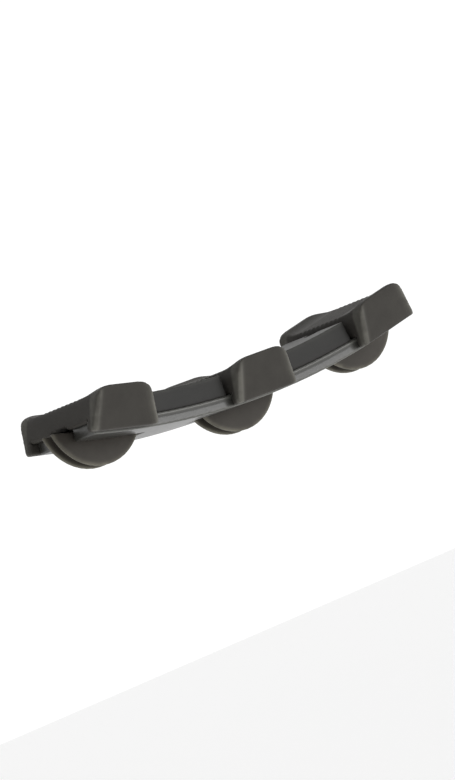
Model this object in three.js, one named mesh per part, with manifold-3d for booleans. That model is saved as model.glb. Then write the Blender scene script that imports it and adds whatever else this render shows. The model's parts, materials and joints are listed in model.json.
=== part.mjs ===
// Bridge-mounted vibration dampener for a tennis racket.
// A hard strip follows the curve of the racket's lower bridge. Three elastomer saddles straddle it
// and seat on the bridge. In each saddle hangs a string guide, a half moon with a groove round its
// edge, over which one string loop turns: the saddle's elastomer is all that links string and
// bridge. Two spacers stand on the strip between the saddles, and the strings pass through notches
// in their ends. Millimetres. +X runs along the bridge, +Y towards the back of the racket and +Z
// towards its head. The origin is the middle of the centre saddle's seat.
import * as THREE from 'three';
import { mergeVertices } from 'three/addons/utils/BufferGeometryUtils.js';
import Module from 'manifold-3d';

const wasm = await Module();
wasm.setup();

// Driving dimensions. A "drop" is a distance from the bridge's surface towards the handle.
const SEAT_RADIUS = 112; // the curve of the bridge that the saddles sit on
const HALF_LENGTH = 25.2; // of the strip, along X
const HALF_WIDTH = 5.9; // of the strip and the spacers, along Y
const GAP = 0.3; // between neighbouring pieces
const TRAVEL = 0.25; // of a string guide towards the bridge
const SPACER_TOP_DROP = 0.5;
const SPACER_FLOOR_DROP = 2.75;
const STRIP_TOP_DROP = SPACER_FLOOR_DROP + GAP;
const STRIP_FLOOR_DROP = 4.6;

const STRING_SPACING = 10.4; // between main strings
const SADDLE_PITCH = 2 * STRING_SPACING; // a saddle stands in every second space between strings

const SPACER_HALF_LENGTH = 5.6;
const NOTCH_RADIUS = 1.0; // of the half-round passage for a string in each end of a spacer
const PEG_OFFSET = 2; // of a spacer's two pegs from its middle
const PEG_RADIUS = 0.8;
const PEG_LENGTH = 1.1;

const PLATE_INNER_Y = HALF_WIDTH + GAP;
const PLATE_FLOOR_Y = 7.2; // of the plates' outer faces at their foot
const PLATE_TOP_Y = 8.6; // of the same faces at their top, where they splay out over the bridge
const RIM_INNER_Y = 7.6; // where the seat starts to fall from the plates' top edge
const SEAT_BEND_Y = 6.3;
const SEAT_FLAT_Y = 4.6; // half the width of the flat middle of the seat
const PLATE_RISE = 0.6; // of the plates above the seat, onto the faces of the bridge
const PLATE_FLOOR_DROP = 4.4;
const PLATE_TOP_HALF_WIDTH = 3.8;
const PLATE_FLOOR_HALF_WIDTH = 4.85;
const PLATE_TOP_CORNER = 1.7;
const PLATE_FLOOR_CORNER = 0.6;
const BLOCK_FLOOR_DROP = 2.7; // of the block between the bridge and the strip

const GUIDE_HALF_THICKNESS = 1.2;
const GUIDE_RADIUS = 6.8;
const GUIDE_CENTRE_DROP = 0.8;
const GUIDE_TOP_DROP = BLOCK_FLOOR_DROP + GAP + TRAVEL;
const GUIDE_SEGMENTS = 48;
const GROOVE_HALF_WIDTH = 0.7; // for a string of about 1.3
const GROOVE_DEPTH = 1.3;
const STRING_X = 5.3; // of a string loop's two strands from the middle of their saddle
const STEM_HALF_WIDTH = 2.2;
const FOOT_HALF_DEPTH = 2.8; // of the crossbar that holds a guide in its saddle
const FOOT_TOP_DROP = 1.3;
const FOOT_FLOOR_DROP = 1.9;

const STRIP_SEGMENTS = 40;
const SPACER_SEGMENTS = 6;
const ROUND_SEGMENTS = 24;
const CORNER_SEGMENTS = 6;
const OVERSHOOT = 2; // how far a cutter runs past the material
const WELD = 1e-4;

const stripNylon = new THREE.MeshStandardMaterial({ color: 0x2c2c2a, roughness: 0.35, metalness: 0 });
const spacerNylon = new THREE.MeshStandardMaterial({ color: 0x3b3b37, roughness: 0.5, metalness: 0 });
const saddleRubber = new THREE.MeshStandardMaterial({ color: 0x4a4845, roughness: 0.8, metalness: 0 });
const guideNylon = new THREE.MeshStandardMaterial({ color: 0x46413f, roughness: 0.5, metalness: 0 });

// Solids for the boolean cuts and joins.
function toSolid(geometry) {
  const plain = geometry.clone();
  plain.deleteAttribute('normal');
  plain.deleteAttribute('uv');
  const welded = mergeVertices(plain, WELD);
  return new wasm.Manifold(new wasm.Mesh({
    numProp: 3,
    vertProperties: new Float32Array(welded.attributes.position.array),
    triVerts: new Uint32Array(welded.index.array),
  }));
}

function toGeometry(solid) {
  const mesh = solid.getMesh();
  const geometry = new THREE.BufferGeometry();
  geometry.setAttribute('position', new THREE.BufferAttribute(mesh.vertProperties, 3));
  geometry.setIndex(new THREE.BufferAttribute(mesh.triVerts, 1));
  geometry.computeVertexNormals();
  return geometry;
}

// Extrudes a shape drawn in X and Z along Y, from yFront to yBack.
function alongY(shape, yFront, yBack, curveSegments = 1) {
  const depth = yBack - yFront;
  const geometry = new THREE.ExtrudeGeometry(shape, { depth, bevelEnabled: false, curveSegments });
  geometry.rotateX(Math.PI / 2);
  geometry.translate(0, yBack, 0);
  return geometry;
}

// Extrudes a shape drawn in Y and Z along X, evenly about x = 0.
function alongX(shape, halfWidth) {
  const geometry = new THREE.ExtrudeGeometry(shape, { depth: 2 * halfWidth, bevelEnabled: false });
  geometry.rotateY(Math.PI / 2);
  geometry.rotateX(Math.PI / 2);
  geometry.translate(-halfWidth, 0, 0);
  return geometry;
}

// The angle along the bridge's curve, and the placement, of a point that lies x along it.
function seatAngle(x) {
  return Math.asin(x / SEAT_RADIUS);
}

function onSeat(geometry, x) {
  geometry.translate(0, 0, -SEAT_RADIUS);
  geometry.rotateY(-seatAngle(x));
  geometry.translate(0, 0, SEAT_RADIUS);
  return geometry;
}

// A layer that follows the bridge between two drops, about the middle of the bridge.
function curvedLayer(topDrop, floorDrop, halfLength, segments) {
  const topRadius = SEAT_RADIUS + topDrop;
  const floorRadius = SEAT_RADIUS + floorDrop;
  const spread = Math.asin(halfLength / floorRadius);
  const down = -Math.PI / 2;
  const shape = new THREE.Shape();
  shape.absarc(0, SEAT_RADIUS, floorRadius, down - spread, down + spread, false);
  shape.absarc(0, SEAT_RADIUS, topRadius, down + spread, down - spread, true);
  shape.closePath();
  return alongY(shape, -HALF_WIDTH, HALF_WIDTH, segments);
}

// A polygon with each corner rounded by its own radius.
function roundedOutline(corners, radii) {
  const points = corners.map(([x, z]) => new THREE.Vector2(x, z));
  const outline = [];
  points.forEach((corner, index) => {
    const before = points[(index + points.length - 1) % points.length];
    const after = points[(index + 1) % points.length];
    const start = corner.clone().add(before.clone().sub(corner).setLength(radii[index]));
    const end = corner.clone().add(after.clone().sub(corner).setLength(radii[index]));
    outline.push(...new THREE.QuadraticBezierCurve(start, corner, end).getPoints(CORNER_SEGMENTS));
  });
  return new THREE.Shape(outline);
}

function saddleXs() {
  return [-SADDLE_PITCH, 0, SADDLE_PITCH];
}

function spacerXs() {
  return [-STRING_SPACING, STRING_SPACING];
}

// An upright round bar between two drops, at x on the curve.
function bar(x, radius, topDrop, floorDrop) {
  const geometry = new THREE.CylinderGeometry(radius, radius, floorDrop - topDrop, ROUND_SEGMENTS);
  geometry.rotateX(Math.PI / 2);
  geometry.translate(0, 0, -(topDrop + floorDrop) / 2);
  return toSolid(onSeat(geometry, x));
}

// A box about the middle of X and Y, between two drops.
function block(halfWidth, halfDepth, topDrop, floorDrop) {
  const geometry = new THREE.BoxGeometry(2 * halfWidth, 2 * halfDepth, floorDrop - topDrop);
  geometry.translate(0, 0, -(topDrop + floorDrop) / 2);
  return geometry;
}

function pegXs(spacerX) {
  return [spacerX - PEG_OFFSET, spacerX + PEG_OFFSET];
}

// Half the length of a guide's chord where it goes through the strip.
function guideHalfWidth() {
  return Math.sqrt(GUIDE_RADIUS ** 2 - (GUIDE_TOP_DROP - GUIDE_CENTRE_DROP) ** 2);
}

// The strip, with a slot for each string guide. The outer slots are open at the strip's ends.
function bearingStrip() {
  const slot = (x) => toSolid(onSeat(block(
    guideHalfWidth() + GAP,
    GUIDE_HALF_THICKNESS + GAP,
    STRIP_TOP_DROP - OVERSHOOT,
    STRIP_FLOOR_DROP + OVERSHOOT,
  ), x));
  const pegHole = (x) => bar(
    x,
    PEG_RADIUS + GAP,
    STRIP_TOP_DROP - OVERSHOOT,
    SPACER_FLOOR_DROP + PEG_LENGTH + GAP,
  );
  const cutters = [...saddleXs().map(slot), ...spacerXs().flatMap(pegXs).map(pegHole)];
  const layer = toSolid(curvedLayer(STRIP_TOP_DROP, STRIP_FLOOR_DROP, HALF_LENGTH, STRIP_SEGMENTS));
  return toGeometry(cutters.reduce((left, cutter) => left.subtract(cutter), layer));
}

// A spacer between two saddles, with two pegs that go into the strip and a notch for a string in
// each end. It is drawn in its place.
function spacer(spacerX) {
  const layer = curvedLayer(
    SPACER_TOP_DROP,
    SPACER_FLOOR_DROP,
    SPACER_HALF_LENGTH,
    SPACER_SEGMENTS,
  );
  const pegs = pegXs(spacerX)
    .map((x) => bar(x, PEG_RADIUS, SPACER_TOP_DROP + GAP, SPACER_FLOOR_DROP + PEG_LENGTH));
  const notchOffset = STRING_SPACING - STRING_X;
  const notches = [spacerX - notchOffset, spacerX + notchOffset]
    .map((x) => bar(x, NOTCH_RADIUS, -OVERSHOOT, SPACER_FLOOR_DROP + OVERSHOOT));
  const pegged = pegs.reduce((whole, peg) => whole.add(peg), toSolid(onSeat(layer, spacerX)));
  return toGeometry(notches.reduce((left, notch) => left.subtract(notch), pegged));
}

// The section of a saddle through Y and Z. The seat is flat in the middle and curves up to the
// plates, as the rounded edge of the bridge does, and the plates hang down beside the strip.
function saddleSection() {
  const side = new THREE.Shape();
  side.moveTo(-PLATE_TOP_Y, PLATE_RISE);
  side.lineTo(-PLATE_FLOOR_Y, -PLATE_FLOOR_DROP);
  side.lineTo(-PLATE_INNER_Y, -PLATE_FLOOR_DROP);
  side.lineTo(-PLATE_INNER_Y, -BLOCK_FLOOR_DROP);
  side.lineTo(PLATE_INNER_Y, -BLOCK_FLOOR_DROP);
  side.lineTo(PLATE_INNER_Y, -PLATE_FLOOR_DROP);
  side.lineTo(PLATE_FLOOR_Y, -PLATE_FLOOR_DROP);
  side.lineTo(PLATE_TOP_Y, PLATE_RISE);
  side.lineTo(RIM_INNER_Y, PLATE_RISE);
  side.quadraticCurveTo(SEAT_BEND_Y, 0, SEAT_FLAT_Y, 0);
  side.lineTo(-SEAT_FLAT_Y, 0);
  side.quadraticCurveTo(-SEAT_BEND_Y, 0, -RIM_INNER_Y, PLATE_RISE);
  side.closePath();
  return side;
}

// An elastomer saddle, drawn about its own seat point, with a pocket below for its string guide.
function saddle() {
  const outline = roundedOutline([
    [-PLATE_FLOOR_HALF_WIDTH, -PLATE_FLOOR_DROP],
    [PLATE_FLOOR_HALF_WIDTH, -PLATE_FLOOR_DROP],
    [PLATE_TOP_HALF_WIDTH, PLATE_RISE],
    [-PLATE_TOP_HALF_WIDTH, PLATE_RISE],
  ], [PLATE_FLOOR_CORNER, PLATE_FLOOR_CORNER, PLATE_TOP_CORNER, PLATE_TOP_CORNER]);
  const pocketTopDrop = FOOT_TOP_DROP - GAP - TRAVEL;
  const footPocket = toSolid(block(
    STEM_HALF_WIDTH + GAP,
    FOOT_HALF_DEPTH + GAP,
    pocketTopDrop,
    FOOT_FLOOR_DROP + GAP,
  ));
  const stemSlot = toSolid(block(
    STEM_HALF_WIDTH + GAP,
    GUIDE_HALF_THICKNESS + GAP,
    pocketTopDrop,
    BLOCK_FLOOR_DROP + OVERSHOOT,
  ));
  const section = toSolid(alongX(saddleSection(), PLATE_FLOOR_HALF_WIDTH + OVERSHOOT));
  return toGeometry(toSolid(alongY(outline, -PLATE_TOP_Y, PLATE_TOP_Y))
    .intersect(section)
    .subtract(footPocket)
    .subtract(stemSlot));
}

// A disc of a string guide, cut off level at the top.
function guideDisc(radius, halfThickness, y) {
  const geometry = new THREE.CylinderGeometry(radius, radius, 2 * halfThickness, GUIDE_SEGMENTS);
  geometry.translate(0, y, -GUIDE_CENTRE_DROP);
  const below = block(GUIDE_RADIUS, 2 * GUIDE_HALF_THICKNESS, GUIDE_TOP_DROP, 2 * GUIDE_RADIUS);
  return toSolid(geometry).intersect(toSolid(below));
}

// A string guide: two flanges and the groove's core between them, hung from a stem with a crossbar.
function stringGuide() {
  const flangeHalfThickness = (GUIDE_HALF_THICKNESS - GROOVE_HALF_WIDTH) / 2;
  const flangeY = GROOVE_HALF_WIDTH + flangeHalfThickness;
  const stem = block(STEM_HALF_WIDTH, GUIDE_HALF_THICKNESS, FOOT_TOP_DROP, STRIP_FLOOR_DROP);
  const foot = block(STEM_HALF_WIDTH, FOOT_HALF_DEPTH, FOOT_TOP_DROP, FOOT_FLOOR_DROP);
  return toGeometry(guideDisc(GUIDE_RADIUS, flangeHalfThickness, -flangeY)
    .add(guideDisc(GUIDE_RADIUS, flangeHalfThickness, flangeY))
    .add(guideDisc(GUIDE_RADIUS - GROOVE_DEPTH, GUIDE_HALF_THICKNESS, 0))
    .add(toSolid(stem))
    .add(toSolid(foot)));
}

// Names a piece, and places one that is drawn about its own point of the seat.
function piece(name, geometry, material, seatX = 0) {
  const mesh = new THREE.Mesh(geometry, material);
  const angle = seatAngle(seatX);
  mesh.name = name;
  mesh.position.set(seatX, 0, SEAT_RADIUS - SEAT_RADIUS * Math.cos(angle));
  mesh.rotation.y = -angle;
  return mesh;
}

const dampener = new THREE.Group();
dampener.add(piece('bearing_strip', bearingStrip(), stripNylon));
['left', 'right'].forEach((side, index) => {
  dampener.add(piece(`spacer_${side}`, spacer(spacerXs()[index]), spacerNylon));
});
['left', 'centre', 'right'].forEach((side, index) => {
  dampener.add(piece(`saddle_${side}`, saddle(), saddleRubber, saddleXs()[index]));
  dampener.add(piece(`string_guide_${side}`, stringGuide(), guideNylon, saddleXs()[index]));
});

export default dampener;
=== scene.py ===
"""The looks of a bridge-mounted vibration dampener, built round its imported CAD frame.

Lengths are in metres, in the frame's own axes: +X along the racket's bridge, +Y to the back of the
racket, +Z to its head. Pieces are rounded and shaped in millimetres and scaled down at the end.
A "drop" is a distance from the bridge's surface towards the handle, as in the CAD model.
"""

import json
import math

import bpy
import numpy as np
from mathutils import Matrix, Vector


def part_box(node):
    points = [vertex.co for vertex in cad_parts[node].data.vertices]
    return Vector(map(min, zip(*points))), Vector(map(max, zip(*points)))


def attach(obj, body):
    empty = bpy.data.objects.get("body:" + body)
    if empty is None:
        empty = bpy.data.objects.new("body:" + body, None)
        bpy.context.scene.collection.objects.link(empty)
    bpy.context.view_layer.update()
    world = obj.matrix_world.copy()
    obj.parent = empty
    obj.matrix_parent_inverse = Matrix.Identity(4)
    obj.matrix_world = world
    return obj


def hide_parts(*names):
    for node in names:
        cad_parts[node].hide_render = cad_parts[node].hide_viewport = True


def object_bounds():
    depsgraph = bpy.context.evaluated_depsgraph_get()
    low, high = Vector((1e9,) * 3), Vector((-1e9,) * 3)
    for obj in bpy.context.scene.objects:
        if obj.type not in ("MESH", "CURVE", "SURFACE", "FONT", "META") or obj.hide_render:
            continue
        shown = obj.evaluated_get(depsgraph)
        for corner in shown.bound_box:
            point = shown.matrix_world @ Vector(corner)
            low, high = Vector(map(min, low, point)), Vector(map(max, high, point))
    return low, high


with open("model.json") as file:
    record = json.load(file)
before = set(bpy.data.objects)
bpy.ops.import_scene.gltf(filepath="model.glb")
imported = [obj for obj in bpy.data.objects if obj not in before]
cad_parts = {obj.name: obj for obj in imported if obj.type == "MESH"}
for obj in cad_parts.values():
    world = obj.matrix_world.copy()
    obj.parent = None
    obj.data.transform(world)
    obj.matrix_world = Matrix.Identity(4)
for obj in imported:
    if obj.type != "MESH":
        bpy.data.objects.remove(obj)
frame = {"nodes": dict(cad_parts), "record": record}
cad_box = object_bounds()

MM = 0.001

# The photograph's viewing angle, distance and tilt. The lens sets how large the object comes out.
VIEW_AZIMUTH = math.radians(-38.5)
VIEW_ELEVATION = math.radians(-0.5)
VIEW_DISTANCE = 0.42
BRIDGE_TILT = math.radians(20.3)  # of the +X axis above the picture's horizontal
LENS_MM = 160
SENSOR_MM = 36

FLOOR_DROP = 0.25  # below the object, which can then be looked at from below too
FLOOR_HALF_SIDE = 3

# How finely each kind of piece is remeshed, in millimetres, and in how many passes it is smoothed.
STRIP_ROUNDING = (0.12, 7)
SPACER_ROUNDING = (0.13, 8)
SADDLE_ROUNDING = (0.12, 16)
GUIDE_ROUNDING = (0.11, 7)

# Measures of the CAD solids that their boxes don't give, in millimetres.
CLEARANCE = 0.3  # between neighbouring solids
STRIP_THICKNESS = 1.55
SPACER_TOP_DROP = 0.5
PLATE_TOP_HALF_WIDTH = 3.8
SEAT_FLAT_Y = 4.6  # half the width of the flat middle of a seat
BLOCK_FLOOR_DROP = 2.7  # of the part of a saddle that lies between the bridge and the strip
GUIDE_RADIUS = 6.8
GUIDE_CENTRE_DROP = 0.8
GUIDE_HALF_THICKNESS = 1.2

# The moulded shapes, in millimetres.
FACE_BLEND = 0.7  # the depth over which what is done to a plate's outer face dies out
PLATE_CROWN = 0.15  # of a saddle's front and back faces
BEAD_HEIGHT = 0.18  # of the bead along the plates' side edges
BEAD_INSET = 0.42
BEAD_WIDTH = 0.3
BEAD_START_DROP = -0.4  # the bead rises to its full height from here
BEAD_FULL_DROP = 0.4
SEAT_RIB_HEIGHT = 0.07  # of the grip ribs across the seat
SEAT_RIB_PITCH = 0.9
SEAT_RIB_FADE = 0.6  # at the ends of the ribbed part
SEAT_LOW, SEAT_HIGH = -0.3, -0.1  # the ribs take hold between these heights
RIDGE_HEIGHT = 0.12  # of the ridge along the top of the strip's front and back faces
RIDGE_INSET = 0.28
RIDGE_WIDTH = 0.2
CONTACT = 0.05  # how far apart, or how far into each other, pieces that touch are set
BLOCK_STRETCH = 0.5  # the lowest part of a saddle's block, which is drawn down to the strip
PLATE_STRETCH = 0.6  # the inner part of a plate, which is drawn in to the strip
SPACER_STRETCH_START, SPACER_STRETCH_END = 1.2, 0.3  # above a spacer's floor
PEG_START = 0.1  # below a spacer's floor

# Where the pieces' edges are painted lighter, mostly as painted highlights on lit rims: how far in
# from an edge, and how wide, in millimetres.
PLATE_HIGHLIGHT_START, PLATE_HIGHLIGHT_FULL = 0.3, 0.8  # outside the plates' inner faces
PLATE_HIGHLIGHT_INSET = 0.15
PLATE_HIGHLIGHT_WIDTH = 0.55
STRIP_EDGE_HIGHLIGHT_WIDTH = 0.25
STRIP_FACE_START, STRIP_FACE_FULL = 0.5, 0.1  # inside the strip's front and back faces
# How wide the lighter band is along the spacers' top edges and the guides' rims.
EDGE_LIGHTENING_WIDTH = 0.3
RIDGE_HIGHLIGHT = 0.6  # how strongly the strip's ridge is painted lighter as a painted highlight, next to 1 for its lower edge
# How much lighter the spacers' top edges are painted.
SPACER_TOP_LIGHTENING = 0.4
# How strongly the guides' flange rims are painted lighter, a painted highlight.
GUIDE_RIM_HIGHLIGHT = 0.7


# ---- Where things are: read from the frame, in millimetres ----

def seat_matrix(side):
    """From a seat's own axes to the frame's, both in millimetres."""
    mount = next(m for m in frame["record"]["mounts"] if m["name"] == "seat_" + side)
    up = Vector(mount["axis"])
    back = Vector((0, 1, 0))
    turn = Matrix((back.cross(up), back, up)).transposed().to_4x4()
    return Matrix.Translation(Vector(mount["pos_m"]) / MM) @ turn


def seat_radius():
    """Of the bridge's curve: the seats' axes all point to its middle."""
    outer = seat_matrix("right")
    return outer.translation.x / -outer.col[2].x


def box_mm(node):
    """The low and high corner of a CAD node's box."""
    low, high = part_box(node)
    return Vector(low) / MM, Vector(high) / MM


SEAT_RADIUS = seat_radius()
STRIP_HALF_WIDTH = box_mm("bearing_strip")[1].y
STRIP_FLOOR_DROP = -box_mm("bearing_strip")[0].z
STRIP_TOP_DROP = STRIP_FLOOR_DROP - STRIP_THICKNESS
SPACER_FLOOR_DROP = STRIP_TOP_DROP - CLEARANCE
PLATE_INNER_Y = STRIP_HALF_WIDTH + CLEARANCE
PLATE_FLOOR_DROP = -box_mm("saddle_centre")[0].z
PLATE_RISE = box_mm("saddle_centre")[1].z
PLATE_FLOOR_HALF_WIDTH = box_mm("saddle_centre")[1].x


def drop_below_bridge(points):
    """How far each point is from the bridge's surface; points are about the middle seat."""
    return np.hypot(points[:, 0], SEAT_RADIUS - points[:, 2]) - SEAT_RADIUS


def move_handleward(points, distances):
    """Moves each point straight away from the bridge."""
    away = points[:, [0, 2]] - (0, SEAT_RADIUS)
    away /= np.linalg.norm(away, axis=1, keepdims=True)
    points[:, [0, 2]] += away * distances[:, None]


def ramp(value, start, end):
    """0 before start and 1 after end, with a smooth rise between."""
    t = np.clip((value - start) / (end - start), 0, 1)
    return t * t * (3 - 2 * t)


def hump(value, middle, width):
    """1 at the middle, dying away on both sides."""
    return np.exp(-((value - middle) / width) ** 2)


# ---- Shapes: each moves points, drawn about their own seat, and returns where they are painted lighter, mostly as painted highlights on lit edges ----

def down_plate(drop):
    """0 at the plates' top and 1 at their foot."""
    return np.clip((drop + PLATE_RISE) / (PLATE_FLOOR_DROP + PLATE_RISE), 0, 1)


def plate_half_width(drop):
    """Half of a plate's width along the bridge."""
    return PLATE_TOP_HALF_WIDTH + down_plate(drop) * (PLATE_FLOOR_HALF_WIDTH - PLATE_TOP_HALF_WIDTH)


def crown_plates(points):
    """Crowns the outer faces of a saddle's two plates and raises a bead along their side edges."""
    x, y, drop = points[:, 0], points[:, 1], -points[:, 2]
    half_width = plate_half_width(drop)
    down = down_plate(drop)
    face = ramp(np.abs(y), PLATE_INNER_Y, PLATE_INNER_Y + FACE_BLEND)
    crown = np.clip(1 - (x / half_width) ** 2, 0, 1) * np.clip(4 * down * (1 - down), 0, 1)
    edge = hump(half_width - np.abs(x), BEAD_INSET, BEAD_WIDTH)
    bead = edge * ramp(drop, BEAD_START_DROP, BEAD_FULL_DROP)
    points[:, 1] += np.sign(y) * face * (PLATE_CROWN * crown + BEAD_HEIGHT * bead)


def rib_seat(points, y):
    """Presses grooves between grip ribs into the flat middle of a saddle's seat."""
    flat = ramp(-np.abs(y), -SEAT_FLAT_Y, -SEAT_FLAT_Y + SEAT_RIB_FADE)
    seat = ramp(points[:, 2], SEAT_LOW, SEAT_HIGH) * flat
    ribs = 0.5 + 0.5 * np.cos(2 * math.pi * y / SEAT_RIB_PITCH)
    points[:, 2] -= SEAT_RIB_HEIGHT * seat * ribs


def meet_strip(points, y, drop):
    """Sets a saddle's block and plates on the strip, and leaves room over the string guide."""
    block = np.abs(y) < PLATE_INNER_Y - CLEARANCE / 2
    slot_edge = GUIDE_HALF_THICKNESS + CLEARANCE
    beside_guide = ramp(np.abs(y), slot_edge, slot_edge + CLEARANCE)
    low = ramp(drop, BLOCK_FLOOR_DROP - BLOCK_STRETCH, BLOCK_FLOOR_DROP)
    reach = (STRIP_TOP_DROP - BLOCK_FLOOR_DROP) * low * beside_guide
    points[:, 2] -= np.where(block, reach, 0)

    inner_face = ramp(-np.abs(y), -PLATE_INNER_Y - PLATE_STRETCH, -PLATE_INNER_Y)
    below_block = ramp(drop, STRIP_TOP_DROP - CLEARANCE / 2, STRIP_TOP_DROP + CLEARANCE / 2)
    points[:, 1] -= np.sign(y) * inner_face * below_block * (CLEARANCE - CONTACT)


def shape_saddle(points):
    """Crowns the plates, ribs the seat and sets a saddle on the strip."""
    y, drop = points[:, 1].copy(), -points[:, 2]
    crown_plates(points)
    rib_seat(points, y)
    meet_strip(points, y, drop)
    # The plates' side edges are painted lighter: a painted highlight on their lit rims.
    outer_face = ramp(
        np.abs(y), PLATE_INNER_Y + PLATE_HIGHLIGHT_START, PLATE_INNER_Y + PLATE_HIGHLIGHT_FULL
    )
    from_edge = plate_half_width(drop) - np.abs(points[:, 0])
    return outer_face * hump(from_edge, PLATE_HIGHLIGHT_INSET, PLATE_HIGHLIGHT_WIDTH)


def shape_strip(points):
    """Raises a ridge along the top of the strip's front and back faces."""
    y = points[:, 1]
    drop = drop_below_bridge(points)
    face = ramp(
        np.abs(y), STRIP_HALF_WIDTH - STRIP_FACE_START, STRIP_HALF_WIDTH - STRIP_FACE_FULL
    )
    ridge = hump(drop, STRIP_TOP_DROP + RIDGE_INSET, RIDGE_WIDTH)
    points[:, 1] += np.sign(y) * face * RIDGE_HEIGHT * ridge
    # The strip's lower edge and its ridge are painted lighter: painted highlights.
    lower_edge = hump(drop, STRIP_FLOOR_DROP, STRIP_EDGE_HIGHLIGHT_WIDTH)
    return face * np.maximum(RIDGE_HIGHLIGHT * ridge, lower_edge)


def shape_spacer(points):
    """Sets a spacer on the strip."""
    drop = drop_below_bridge(points)
    above_pegs = drop < SPACER_FLOOR_DROP + PEG_START
    low = ramp(
        drop, SPACER_FLOOR_DROP - SPACER_STRETCH_START, SPACER_FLOOR_DROP - SPACER_STRETCH_END
    )
    reach = (CLEARANCE + CONTACT) * low
    move_handleward(points, np.where(above_pegs, reach, 0))
    # Painted lighter along the spacer's top edge.
    return SPACER_TOP_LIGHTENING * hump(drop, SPACER_TOP_DROP, EDGE_LIGHTENING_WIDTH)


def shape_guide(points):
    """Leaves the CAD model's shape as it is, painted lighter along the rims of the two flanges as a
    painted highlight.
    """
    from_centre = np.hypot(points[:, 0], points[:, 2] + GUIDE_CENTRE_DROP)
    return GUIDE_RIM_HIGHLIGHT * hump(from_centre, GUIDE_RADIUS, EDGE_LIGHTENING_WIDTH)


def rounded_piece(node, seat, rounding, shape, body, material):
    """A rounded, shaped copy of a CAD node that stands for it, worked on about its own seat."""
    to_frame = Matrix.Scale(MM, 4) @ seat
    mesh = frame["nodes"][node].data.copy()
    mesh.transform(to_frame.inverted())
    work = bpy.data.objects.new("work", mesh)
    bpy.context.scene.collection.objects.link(work)
    remesh = work.modifiers.new("remesh", "REMESH")
    remesh.mode = "VOXEL"
    remesh.voxel_size, passes = rounding
    smooth = work.modifiers.new("smooth", "SMOOTH")
    smooth.factor = 0.5
    smooth.iterations = passes
    evaluated = work.evaluated_get(bpy.context.evaluated_depsgraph_get())
    result = bpy.data.meshes.new_from_object(evaluated)
    bpy.data.objects.remove(work)

    points = np.empty(len(result.vertices) * 3)
    result.vertices.foreach_get("co", points)
    points = points.reshape(-1, 3)
    # Where the shape paints the piece lighter, mostly as painted highlights on lit edges.
    edge_highlight = shape(points)
    result.vertices.foreach_set("co", points.ravel())
    result.attributes.new("edge_highlight", "FLOAT", "POINT").data.foreach_set("value", edge_highlight)
    result.transform(to_frame)
    result.polygons.foreach_set("use_smooth", [True] * len(result.polygons))
    result.materials.clear()
    result.materials.append(material)
    result.update()

    piece = bpy.data.objects.new(node + "_moulding", result)
    bpy.context.scene.collection.objects.link(piece)
    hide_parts(node)
    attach(piece, body)


# ---- Materials ----

def new_material(name, roughness_range, colours, highlight_colour, grain, patch, bump, stretch=(1, 1, 1)):
    """A moulded plastic or rubber: patchy colour, fine grain, and edges painted lighter, mostly as
    a painted highlight.

    colours are the darker and lighter tint, grain and patch are the sizes of the fine and the broad
    pattern in millimetres, bump is the grain's depth in millimetres, and stretch draws it out.
    """
    material = bpy.data.materials.new(name)
    material.use_nodes = True
    tree = material.node_tree
    shader = tree.nodes["Principled BSDF"]

    def node(kind, **inputs):
        made = tree.nodes.new(kind)
        for key, value in inputs.items():
            made.inputs[key.replace("_", " ")].default_value = value
        return made

    def link(source, output, target, socket):
        tree.links.new(source.outputs[output], target.inputs[socket])

    coordinates = node("ShaderNodeTexCoord")
    mapping = node("ShaderNodeMapping", Scale=stretch)
    link(coordinates, "Object", mapping, "Vector")
    broad = node("ShaderNodeTexNoise", Scale=1 / (patch * MM), Detail=3)
    fine = node("ShaderNodeTexNoise", Scale=1 / (grain * MM), Detail=5, Roughness=0.6)
    for noise in (broad, fine):
        link(mapping, "Vector", noise, "Vector")

    tint = node("ShaderNodeMix")
    tint.data_type = "RGBA"
    tint.inputs["A"].default_value = (*colours[0], 1)
    tint.inputs["B"].default_value = (*colours[1], 1)
    link(broad, "Fac", tint, "Factor")

    # Edges are painted lighter towards the highlight colour, mostly as painted highlights, patchy
    # through the broad noise.
    attribute = node("ShaderNodeAttribute")
    attribute.attribute_name = "edge_highlight"
    patchy = node("ShaderNodeMapRange", From_Min=0.3, From_Max=0.6, To_Min=0.35)
    link(broad, "Fac", patchy, "Value")
    edge_highlight = node("ShaderNodeMath")
    edge_highlight.operation = "MULTIPLY"
    link(attribute, "Fac", edge_highlight, 0)
    link(patchy, "Result", edge_highlight, 1)
    highlight_tint = node("ShaderNodeMix")
    highlight_tint.data_type = "RGBA"
    highlight_tint.inputs["B"].default_value = (*highlight_colour, 1)
    link(edge_highlight, "Value", highlight_tint, "Factor")
    link(tint, "Result", highlight_tint, "A")
    link(highlight_tint, "Result", shader, "Base Color")

    gloss = node("ShaderNodeMapRange", To_Min=roughness_range[0], To_Max=roughness_range[1])
    link(fine, "Fac", gloss, "Value")
    link(gloss, "Result", shader, "Roughness")

    relief = node("ShaderNodeBump", Strength=0.6, Distance=bump * MM)
    link(fine, "Fac", relief, "Height")
    link(relief, "Normal", shader, "Normal")
    return material


def saddle_rubber():
    material = new_material(
        "saddle_rubber",
        roughness_range=(0.5, 0.7),
        colours=((0.038, 0.035, 0.031), (0.060, 0.056, 0.049)),
        # A painted highlight: the colour the plates' lit rims are painted.
        highlight_colour=(0.17, 0.165, 0.145),
        grain=0.12,
        patch=2.5,
        bump=0.03,
    )
    shader = material.node_tree.nodes["Principled BSDF"]
    shader.inputs["Specular IOR Level"].default_value = 0.15
    shader.inputs["Sheen Weight"].default_value = 0.03
    return material


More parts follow.
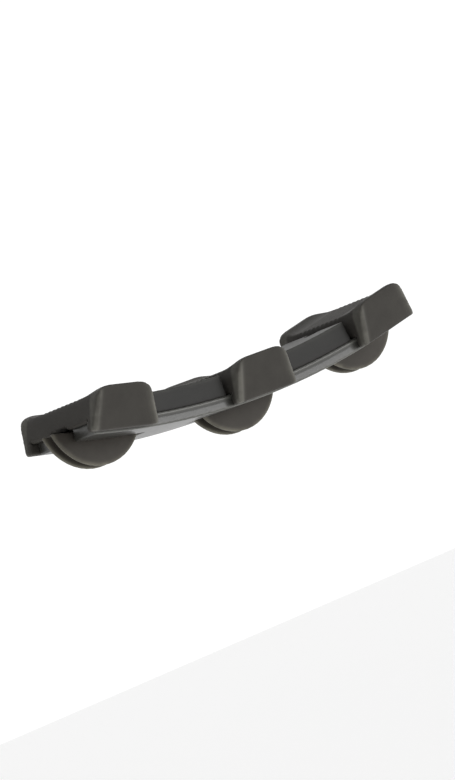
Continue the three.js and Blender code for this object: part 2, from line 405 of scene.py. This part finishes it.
def strip_nylon():
    material = new_material(
        "strip_nylon",
        roughness_range=(0.3, 0.42),
        colours=((0.026, 0.026, 0.023), (0.044, 0.043, 0.038)),
        # A painted highlight: the colour the strip's ridge and lower edge are painted.
        highlight_colour=(0.12, 0.12, 0.105),
        grain=0.15,
        patch=3,
        bump=0.012,
        stretch=(0.25, 1, 1),
    )
    shader = material.node_tree.nodes["Principled BSDF"]
    shader.inputs["Coat Weight"].default_value = 0.2
    shader.inputs["Coat Roughness"].default_value = 0.12
    return material


def spacer_nylon():
    material = new_material(
        "spacer_nylon",
        roughness_range=(0.42, 0.58),
        colours=((0.019, 0.019, 0.018), (0.031, 0.030, 0.028)),
        # The colour the spacers' top edges are painted.
        highlight_colour=(0.09, 0.09, 0.08),
        grain=0.14,
        patch=2.2,
        bump=0.02,
        stretch=(0.4, 1, 1),
    )
    material.node_tree.nodes["Principled BSDF"].inputs["Specular IOR Level"].default_value = 0.2
    return material


def guide_nylon():
    material = new_material(
        "guide_nylon",
        roughness_range=(0.42, 0.6),
        colours=((0.044, 0.039, 0.033), (0.066, 0.059, 0.050)),
        # A painted highlight: the colour the flange rims are painted.
        highlight_colour=(0.2, 0.19, 0.15),
        grain=0.12,
        patch=2,
        bump=0.02,
    )
    material.node_tree.nodes["Principled BSDF"].inputs["Specular IOR Level"].default_value = 0.2
    return material


def plain_material(name, colour, roughness, glow):
    material = bpy.data.materials.new(name)
    material.use_nodes = True
    shader = material.node_tree.nodes["Principled BSDF"]
    shader.inputs["Base Color"].default_value = (*colour, 1)
    shader.inputs["Roughness"].default_value = roughness
    shader.inputs["Emission Color"].default_value = (1, 1, 1, 1)
    shader.inputs["Emission Strength"].default_value = glow
    return material


# ---- Camera, floor and lights ----

def camera_axes(direction, tilt):
    """Right and up of a camera that looks against direction, turned so that +X rises by tilt."""
    right = Vector((0, 0, 1)).cross(direction).normalized()
    up = direction.cross(right)
    bridge = Vector((1, 0, 0))
    turn = math.atan2(bridge.dot(up), bridge.dot(right)) - tilt
    roll = Matrix.Rotation(turn, 3, direction)
    return roll @ right, roll @ up


def direction_from(azimuth, elevation):
    return Vector((
        math.sin(azimuth) * math.cos(elevation),
        -math.cos(azimuth) * math.cos(elevation),
        math.sin(elevation),
    ))


def add_camera(target):
    direction = direction_from(VIEW_AZIMUTH, VIEW_ELEVATION)
    right, up = camera_axes(direction, BRIDGE_TILT)
    data = bpy.data.cameras.new("camera")
    data.lens = LENS_MM
    data.sensor_width = SENSOR_MM
    data.clip_start = 0.01
    data.clip_end = 10
    camera = bpy.data.objects.new("camera", data)
    bpy.context.scene.collection.objects.link(camera)
    turn = Matrix((right, up, direction)).transposed()
    camera.matrix_world = Matrix.Translation(target + direction * VIEW_DISTANCE) @ turn.to_4x4()
    bpy.context.scene.camera = camera


def add_floor():
    mesh = bpy.data.meshes.new("floor")
    height = cad_box[0][2] - FLOOR_DROP
    signs = [(-1, -1), (1, -1), (1, 1), (-1, 1)]
    corners = [(x * FLOOR_HALF_SIDE, y * FLOOR_HALF_SIDE, height) for x, y in signs]
    mesh.from_pydata(corners, [], [(0, 1, 2, 3)])
    mesh.materials.append(plain_material("floor", (0.85, 0.85, 0.85), roughness=0.9, glow=0.8))
    floor = bpy.data.objects.new("floor", mesh)
    bpy.context.scene.collection.objects.link(floor)


def add_area_light(name, azimuth, elevation, distance, size, power):
    """A square soft light that looks at the object from an azimuth and elevation in degrees."""
    direction = direction_from(math.radians(azimuth), math.radians(elevation))
    data = bpy.data.lights.new(name, "AREA")
    data.size = size
    data.energy = power
    light = bpy.data.objects.new(name, data)
    bpy.context.scene.collection.objects.link(light)
    turn = direction.to_track_quat("Z", "Y").to_matrix().to_4x4()
    light.matrix_world = Matrix.Translation(direction * distance) @ turn


def add_world():
    """White to the camera and in reflections, and much dimmer as a source of diffuse light."""
    world = bpy.data.worlds.new("studio")
    bpy.context.scene.world = world
    world.use_nodes = True
    tree = world.node_tree
    background = tree.nodes["Background"]
    background.inputs["Color"].default_value = (1, 1, 1, 1)
    rays = tree.nodes.new("ShaderNodeLightPath")
    strength = tree.nodes.new("ShaderNodeMapRange")
    strength.inputs["To Min"].default_value = 1.1
    strength.inputs["To Max"].default_value = 0.045
    tree.links.new(rays.outputs["Is Diffuse Ray"], strength.inputs["Value"])
    tree.links.new(strength.outputs["Result"], background.inputs["Strength"])


low, high = (Vector(corner) for corner in cad_box)
add_camera((low + high) / 2)
add_floor()
add_world()
add_area_light("key", azimuth=28, elevation=8, distance=0.7, size=0.4, power=2.1)
add_area_light("top", azimuth=10, elevation=70, distance=0.8, size=0.6, power=0.7)
bpy.context.scene.view_settings.view_transform = "Standard"

rubber = saddle_rubber()
nylon = spacer_nylon()
guide = guide_nylon()
centre = seat_matrix("centre")
rounded_piece(
    "bearing_strip", centre, STRIP_ROUNDING, shape_strip, "carrier", strip_nylon()
)
for side in ("left", "right"):
    rounded_piece(
        f"spacer_{side}", centre, SPACER_ROUNDING, shape_spacer, "carrier", nylon
    )
for side in ("left", "centre", "right"):
    seat = seat_matrix(side)
    rounded_piece(
        f"saddle_{side}", seat, SADDLE_ROUNDING, shape_saddle, "carrier", rubber
    )
    rounded_piece(
        f"string_guide_{side}", seat, GUIDE_ROUNDING, shape_guide, f"{side}_guide",
        guide,
    )
